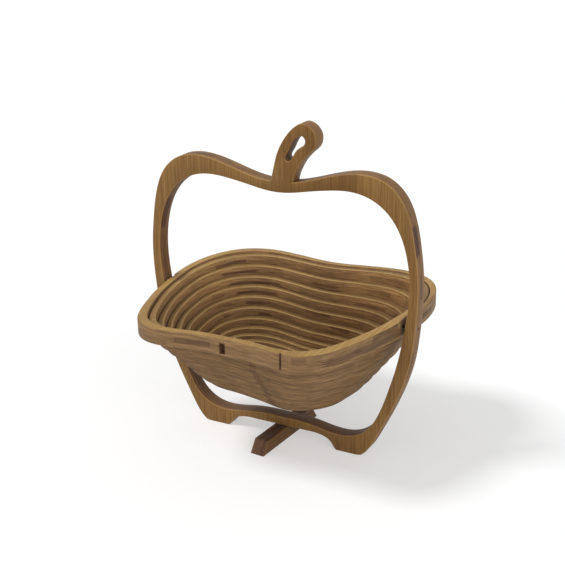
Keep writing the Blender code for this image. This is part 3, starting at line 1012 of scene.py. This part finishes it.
def prism_cutter(name, outline, low, high, place):
    b = Builder()
    low_ring = [b.point(place(u, v, low), (u, v, low)) for u, v in outline]
    high_ring = [b.point(place(u, v, high), (u, v, high)) for u, v in outline]
    count = len(outline)
    b.face(low_ring[::-1], [(0.0, 0.0)] * count, RECESS)
    b.face(high_ring, [(0.0, 0.0)] * count, RECESS)
    for i in range(count):
        j = (i + 1) % count
        corners = (low_ring[i], low_ring[j], high_ring[j], high_ring[i])
        b.face(corners, [(b.points[c][2], b.points[c][1]) for c in corners], RECESS)
    return b.make(name, None)


def cut_out(piece, outline, low, high, place):
    """Takes a prism out of a piece, at once."""
    cutter = prism_cutter("cutter", outline, low, high, place)
    modifier = piece.modifiers.new("cut", "BOOLEAN")
    modifier.operation = "DIFFERENCE"
    modifier.solver = "EXACT"
    modifier.object = cutter
    graph = bpy.context.evaluated_depsgraph_get()
    mesh = bpy.data.meshes.new_from_object(piece.evaluated_get(graph), depsgraph=graph)
    piece.modifiers.clear()
    piece.data = mesh
    bpy.data.objects.remove(cutter)


def rectangle(left, right, bottom, top):
    return [(left, bottom), (right, bottom), (right, top), (left, top)]


def make_rim(material):
    places = rim_places()
    outer = np.array([rim_edge(s) for s in places])
    inner = np.array([cut_edge(s) for s in places])
    runs = run_lengths(outer, closed=False)
    rim = strip_sections(outer, inner, runs, np.zeros(len(places))).make("rim_strip", material)
    front = -outline_radius(-math.pi / 2)
    pocket = rectangle(
        POCKET_RIGHT - POCKET_WIDTH / 2,
        POCKET_RIGHT + POCKET_WIDTH / 2,
        RIM_TOP - POCKET_DROP - POCKET_HEIGHT,
        RIM_TOP - POCKET_DROP,
    )
    cut_out(rim, pocket, -front - POCKET_DEPTH, -front + OVERRUN, upright)
    slit_angle = -math.acos(SLIT_RIGHT / outline_radius(-math.atan(CORNER_SLOPE)))
    slit_front = -outline_radius(slit_angle) * math.sin(slit_angle)
    slit = rectangle(
        SLIT_RIGHT - SLIT_WIDTH / 2,
        SLIT_RIGHT + SLIT_WIDTH / 2,
        rim_bottom - OVERRUN,
        RIM_TOP + OVERRUN,
    )
    cut_out(rim, slit, slit_front - SLIT_DEPTH, slit_front + OVERRUN, upright)
    bore = circle(PIN_RADIUS + FIT, PIVOT_HEIGHT)
    cut_out(rim, bore, pin_tip() - FIT, HINGE_FLAT[1] + OVERRUN, sideways)
    cut_out(rim, bore, -HINGE_FLAT[-1] - OVERRUN, FIT - pin_tip(), sideways)
    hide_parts("bowl_rim")
    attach(rim, "bowl_rim")


def turn_body(number):
    return f"spiral_turn_{number:02d}" if number else "bowl_rim"


def eased_back(share):
    """The t whose smooth step, t * t * (3 - 2 * t), is the share."""
    share = min(max(share, 0.0), 1.0)
    return 0.5 - math.sin(math.asin(1 - 2 * share) / 3)


def bend(middle, depths, first, last):
    """How a part of the strip, from one station to another, can bend flat between two bodies.

    Gives the lower body's number, the bend's start and end in plan, and by how much each of the
    part's stations then misses the rim's plane.
    """
    part = depths[first:last + 1]
    number = int(np.clip(np.searchsorted(BODY_DEPTHS, part.mean()), 1, TURNS))
    high = BODY_DEPTHS[number - 1]
    step = BODY_DEPTHS[number] - high
    t_first = eased_back((depths[first] - high) / step)
    t_last = eased_back((depths[last] - high) / step)
    chord = middle[last] - middle[first]
    length = np.linalg.norm(chord)
    way = chord / length
    rate = t_last - t_first
    rate = math.copysign(max(abs(rate), LEAST_BEND), rate) / length
    t = np.clip(t_first + rate * ((middle[first:last + 1] - middle[first]) @ way), 0, 1)
    miss = abs(high + step * t * t * (3 - 2 * t) - part)
    start = middle[first] - way * t_first / rate
    return number, start, start + way / rate, miss


def flat_parts(middle, depths):
    """Cuts a turn into parts, each as long as it can be and still fold flat."""
    first = 0
    final = len(depths) - 1
    while first < final:
        last = first + 1
        while last < final and bend(middle, depths, first, last + 1)[3].max() < FLAT_MISS:
            last += 1
        while last > first + 1 and max(bend(middle, depths, first, last)[3][[0, -1]]) > JOIN_MISS:
            last -= 1
        yield first, last
        first = last


def make_turn(number, material):
    """One turn of the strip, in parts short enough to bend flat between two bodies."""
    places = np.linspace(number - 1, number, TURN_STATIONS)
    outer = np.array([cut_edge(s, SPIRAL_CUT) for s in places])
    inner = np.array([cut_edge(s + 1) for s in places])
    middle = (outer + inner) / 2
    depths = np.array([sunk(s, *m) for s, m in zip(places, middle)])
    reach = np.minimum(depths, BODY_DEPTHS[-1])
    runs = run_lengths(middle, closed=False)
    for part, (first, last) in enumerate(flat_parts(middle, reach), 1):
        cells = slice(first, last + 1)
        # The turns' tops get painted shade away from their inner edges
        strip = strip_sections(outer[cells], inner[cells], runs[cells], depths[cells], CREVICE)
        piece = strip.make(f"turn_{number:02d}_part_{part:02d}", material)
        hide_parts(turn_body(number))
        lower, start, end, _ = bend(middle, reach, first, last)
        turn_body(lower)
        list(start)
        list(end)
        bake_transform(piece)


def make_base(material):
    places = [TURNS + i / RIM_STATIONS for i in range(RIM_STATIONS + 1)]
    outline = [cut_edge(s, SPIRAL_CUT) for s in places]
    middle = PIVOT_HEIGHT - BOWL_DEPTH
    piece = slab(
        "bowl_floor", [outline], BOARD,
        lambda u, v, w: (u, v, middle + w),
        lying,
        lambda u, v: (u, v),
        material,
    )
    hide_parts("bowl_base")
    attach(piece, turn_body(TURNS))


def make_foot(material):
    profile = [
        (-FOOT_LENGTH / 2, 0),
        (FOOT_LENGTH / 2, 0),
        (FOOT_TOP_LENGTH / 2, foot_height),
        (-FOOT_TOP_LENGTH / 2, foot_height),
    ]
    piece = slab(
        "foot_bar", [profile], FOOT_WIDTH, sideways,
        lambda u, v, w: (v, u, w),
        lambda u, v: (v, u),
        material,
    )
    head_top = SCREW_SUNK + SCREW_HEAD_HEIGHT + FIT
    cut_out(piece, circle(SCREW_RADIUS + FIT), -OVERRUN, foot_height + OVERRUN, lying)
    cut_out(piece, circle(SCREW_HEAD_RADIUS + FIT), -OVERRUN, head_top, lying)
    piece.rotation_euler.z = -FOOT_TURN
    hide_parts("cross_foot")
    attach(piece, "cross_foot")


# The camera stands where the photograph was taken from
CAMERA_PLACE = Vector((0.4781, -0.8750, 0.5225))
CAMERA_YAW = math.radians(28.63)
CAMERA_PITCH = math.radians(-20.37)
CAMERA_ROLL = math.radians(-1.025)
FOCAL_PIXELS = 1183.9
PHOTO_PIXELS = 565
SENSOR = 36.0
CLIP_NEAR = 0.01
CLIP_FAR = 60.0


def make_camera():
    data = bpy.data.cameras.new("camera")
    data.sensor_width = SENSOR
    data.lens = SENSOR * FOCAL_PIXELS / PHOTO_PIXELS
    data.clip_start = CLIP_NEAR
    data.clip_end = CLIP_FAR
    camera = bpy.data.objects.new("camera", data)
    bpy.context.scene.collection.objects.link(camera)
    forward = Vector((
        -math.sin(CAMERA_YAW) * math.cos(CAMERA_PITCH),
        math.cos(CAMERA_YAW) * math.cos(CAMERA_PITCH),
        math.sin(CAMERA_PITCH),
    ))
    right = Vector((math.cos(CAMERA_YAW), math.sin(CAMERA_YAW), 0))
    up = right.cross(forward)
    rolled_right = right * math.cos(CAMERA_ROLL) + up * math.sin(CAMERA_ROLL)
    rolled_up = up * math.cos(CAMERA_ROLL) - right * math.sin(CAMERA_ROLL)
    turn = Matrix((rolled_right, rolled_up, -forward)).transposed().to_4x4()
    camera.matrix_world = Matrix.Translation(CAMERA_PLACE) @ turn
    bpy.context.scene.camera = camera


FLOOR_SIZE = 40.0
FLOOR_ROUGHNESS = 0.9
# The floor is paler where it lights the object than where it is seen, and there it glows to white
FLOOR_LIT = (0.87, 0.87, 0.87, 1)
FLOOR_SEEN = (0.60, 0.60, 0.60, 1)
FLOOR_GLOW = 0.44
WHITE = (1, 1, 1, 1)


def seen_directly(g):
    """1 for what is seen, also in a reflection or through glass, and 0 for what lights the scene."""
    path = g.node("ShaderNodeLightPath")
    seen = path.outputs["Is Camera Ray"]
    for name in ("Is Glossy Ray", "Is Transmission Ray"):
        seen = g.math("MAXIMUM", seen, path.outputs[name])
    return seen


def make_floor():
    bpy.ops.mesh.primitive_plane_add(size=FLOOR_SIZE, location=(0, 0, 0))
    floor = bpy.context.object
    floor.name = "floor"
    material = bpy.data.materials.new("floor")
    g = Graph(material)
    seen = seen_directly(g)
    g.set(
        Base_Color=g.mix(seen, FLOOR_LIT, FLOOR_SEEN),
        Roughness=FLOOR_ROUGHNESS,
        Specular_IOR_Level=0.0,
        Emission_Color=WHITE,
        Emission_Strength=g.times(seen, FLOOR_GLOW),
    )
    floor.data.materials.append(material)


def distant_lamp(name, towards, size, level):
    """A large soft lamp far away; level is how bright it makes a white surface that faces it."""
    data = bpy.data.lights.new(name, "SUN")
    data.angle = size
    data.energy = level * math.pi
    light = bpy.data.objects.new(name, data)
    bpy.context.scene.collection.objects.link(light)
    light.rotation_mode = "QUATERNION"
    light.rotation_quaternion = Vector(towards).to_track_quat("Z", "Y")


ROOM_LIGHT = 0.42           # strength of the white world, where it lights the object
LAMPS = (
    ("key", (-0.50, -0.34, 0.79), math.radians(16), 0.56),
    ("fill", (0.72, -0.62, 0.20), math.radians(70), 0.50),
)


def make_light():
    """A white room, a soft lamp above the left, and a softer one at the front right."""
    world = bpy.data.worlds.new("studio")
    g = Graph(world, "Background")
    g.set(Color=WHITE, Strength=g.evenly(seen_directly(g), 0.0, 1.0, ROOM_LIGHT, 1.0))
    bpy.context.scene.world = world
    for lamp in LAMPS:
        distant_lamp(*lamp)
    bpy.context.scene.view_settings.view_transform = "Standard"


# The darkest laths in the photo: two corners of each in the board, and how dark it is
FRAME_LATHS = (
    ((0.100, 0.066, -0.0022), (0.140, 0.092, 0.0080), 0.90),
    ((-0.130, 0.058, -0.0026), (-0.105, 0.088, 0.0076), 0.60),
)
RIM_LATHS = (
    ((0.080, -0.100, -0.0048), (0.130, -0.010, 0.0016), 0.50),
    ((0.068, -0.116, 0.0002), (0.080, -0.100, 0.0062), 0.40),
    ((-0.125, -0.120, 0.0054), (-0.020, 0.000, 0.0061), 0.60),
)
BOWL_LATHS = (
    ((-0.112, 0.061, 0.0000), (-0.048, 0.091, 0.0030), 0.64),
    ((-0.056, 0.084, -0.0020), (-0.022, 0.0885, -0.0002), 0.60),
    ((0.0175, -0.100, -0.0068), (0.0245, -0.046, 0.0010), 0.36),
    ((-0.016, 0.084, -0.0012), (0.012, 0.091, 0.0014), 0.55),
    ((-0.014, 0.066, 0.0028), (0.012, 0.074, 0.0068), 0.60),
    ((0.016, 0.062, 0.0030), (0.034, 0.070, 0.0066), 0.60),
    ((0.030, 0.084, -0.0016), (0.064, 0.090, 0.0016), 0.45),
    ((-0.096, 0.030, 0.0012), (-0.078, 0.048, 0.0044), 0.45),
)

frame_wood = wood(
    "frame_wood",
    face=tone(136, 101, 55), face_dark=tone(116, 82, 40), face_light=tone(160, 125, 76),
    outer=tone(128, 94, 56), inner=tone(118, 86, 56), inner_red=tone(108, 76, 52),
    burnt=tone(72, 44, 36),
    dark_laths=FRAME_LATHS, deeper=(0.80, 0.75, 0.64, 1), edge=0.8,
)
foot_wood = wood(
    "foot_wood",
    face=tone(112, 80, 46), face_dark=tone(96, 66, 38), face_light=tone(126, 93, 58),
    outer=tone(104, 74, 52), inner=tone(104, 74, 52), inner_red=tone(98, 68, 48),
    burnt=tone(72, 44, 36),
)
bowl_wood = wood(
    "bowl_wood",
    face=tone(166, 132, 79), face_dark=tone(148, 114, 62), face_light=tone(190, 157, 102),
    outer=tone(130, 101, 66), inner=tone(130, 99, 66), inner_red=tone(132, 95, 66),
    burnt=tone(74, 46, 36),
    dark_laths=RIM_LATHS, far_lift=0.20,
)
# The same board as the rim's: the turns' tops painted darker, as painted shade inside the bowl, and
# their inner walls a little lighter, as painted light
turn_wood = wood(
    "turn_wood",
    face=tone(150, 119, 70), face_dark=tone(134, 103, 57), face_light=tone(184, 152, 98),
    outer=tone(127, 98, 64), inner=tone(134, 104, 68), inner_red=tone(134, 100, 64),
    burnt=tone(74, 46, 36),
    dark_laths=BOWL_LATHS, edge=0.85, far_lift=0.60,
)
make_camera()
make_floor()
make_light()
make_frame(frame_wood)
make_rim(bowl_wood)
for turn_number in range(1, TURNS + 1):
    make_turn(turn_number, turn_wood)
make_base(turn_wood)
make_foot(foot_wood)
metal = steel()
for node in ("foot_screw", "pivot_pin_left", "pivot_pin_right"):
    cad = frame["nodes"][node]
    cad.data.materials.clear()
    cad.data.materials.append(metal)
